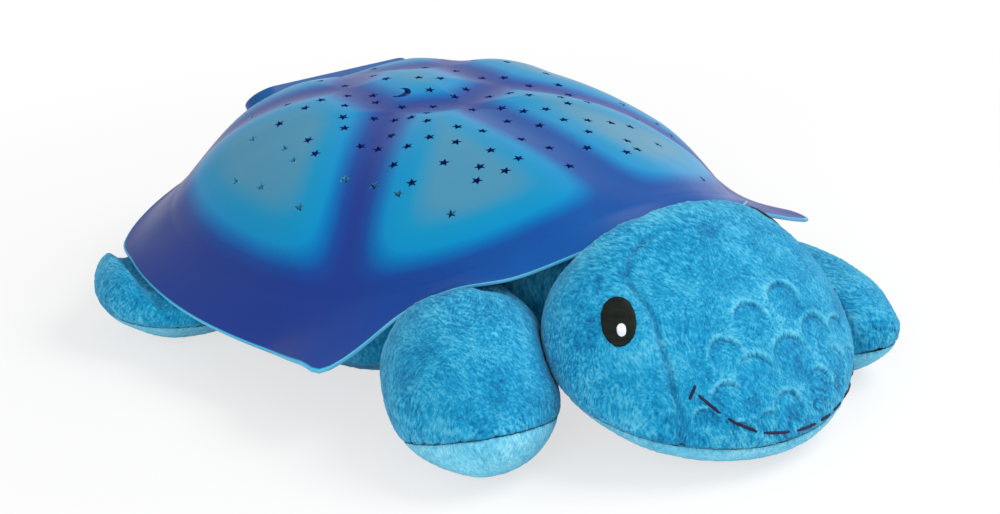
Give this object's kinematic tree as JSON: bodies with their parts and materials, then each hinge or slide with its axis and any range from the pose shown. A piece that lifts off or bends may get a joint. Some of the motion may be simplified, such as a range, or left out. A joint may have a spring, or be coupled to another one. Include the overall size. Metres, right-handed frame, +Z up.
{
  "type": "star night light projector",
  "caption": "Battery star night light: a hard translucent turtle shell with star and moon holes over a lamp, carried by a soft plush turtle with a belly battery door.",
  "frame": {"origin": "centre of the footprint, on the floor that the plush belly rests on", "axes": "+X towards the turtle's head, +Y towards its left side, +Z up"},
  "size_m": [0.35, 0.3158, 0.0957],
  "materials": {
    "shell_plastic": "translucent moulded plastic, sprayed indigo along the seams and brim, clear blue edge",
    "panel_plastic": "moulded, semi-gloss",
    "blue_key": "translucent, gloss",
    "green_key": "translucent, gloss",
    "amber_key": "translucent, gloss",
    "black_plastic": "moulded, matt",
    "white_plastic": "moulded, fine texture",
    "circuit_board": "solder resist",
    "switch_metal": "pressed",
    "steel": "zinc plated",
    "contact_metal": "nickel-plated spring brass",
    "lead_grey": "soft sheath",
    "lead_red": "soft sheath",
    "blue_lens": "clear epoxy",
    "green_lens": "clear epoxy",
    "amber_lens": "clear epoxy",
    "cell_sleeve": "plain sleeve",
    "plush": "soft short pile",
    "pale_plush": "soft short pile",
    "belly_cloth": "short pile with a bound edge",
    "eye_thread": "satin-stitched thread"
  },
  "bodies": {
    "root": {"shell": "shell_plastic", "button_panel": "panel_plastic", "key_switches": "switch_metal", "button_board": "circuit_board", "button_board_screws": "steel", "button_lead": "lead_grey", "base_tray": "white_plastic", "shell_screws": "steel", "light_board": "circuit_board", "light_board_screws": "steel", "blue_led": "blue_lens", "green_led": "green_lens", "amber_led": "amber_lens", "lamp_cup": "black_plastic", "battery_lead": "lead_red", "cell_left": "cell_sleeve", "cell_middle": "cell_sleeve", "cell_right": "cell_sleeve", "contact_positive": "contact_metal", "contact_negative": "contact_metal", "contact_link_front": "contact_metal", "contact_link_rear": "contact_metal", "plush_body": "plush", "belly_panel": "belly_cloth", "plush_head": "plush", "head_underside": "pale_plush", "eye_left": "eye_thread", "eye_right": "eye_thread", "flipper_front_left": "plush", "flipper_front_right": "plush", "flipper_rear_left": "plush", "flipper_rear_right": "plush", "sole_front_left": "pale_plush", "sole_front_right": "pale_plush", "sole_rear_left": "pale_plush", "sole_rear_right": "pale_plush", "tail": "plush"},
    "blue_button": {"blue_button": "blue_key", "blue_plunger": "black_plastic"},
    "green_button": {"green_button": "green_key", "green_plunger": "black_plastic"},
    "amber_button": {"amber_button": "amber_key", "amber_plunger": "black_plastic"},
    "battery_door": {"battery_door": "white_plastic", "door_screw": "steel"}
  },
  "joints": [
    {"name": "blue_button_press", "type": "slide", "parent": "root", "child": "blue_button", "axis": [0.7071, 0, -0.7071], "range_m": [0, 0.0012], "stiffness_N_per_m": 1200},
    {"name": "green_button_press", "type": "slide", "parent": "root", "child": "green_button", "axis": [0.7071, 0, -0.7071], "range_m": [0, 0.0012], "stiffness_N_per_m": 1200},
    {"name": "amber_button_press", "type": "slide", "parent": "root", "child": "amber_button", "axis": [0.7071, 0, -0.7071], "range_m": [0, 0.0012], "stiffness_N_per_m": 1200},
    {"name": "battery_door_lift", "type": "slide", "parent": "root", "child": "battery_door", "axis": [0, 0, -1], "range_m": [0, 0.03]}
  ]
}
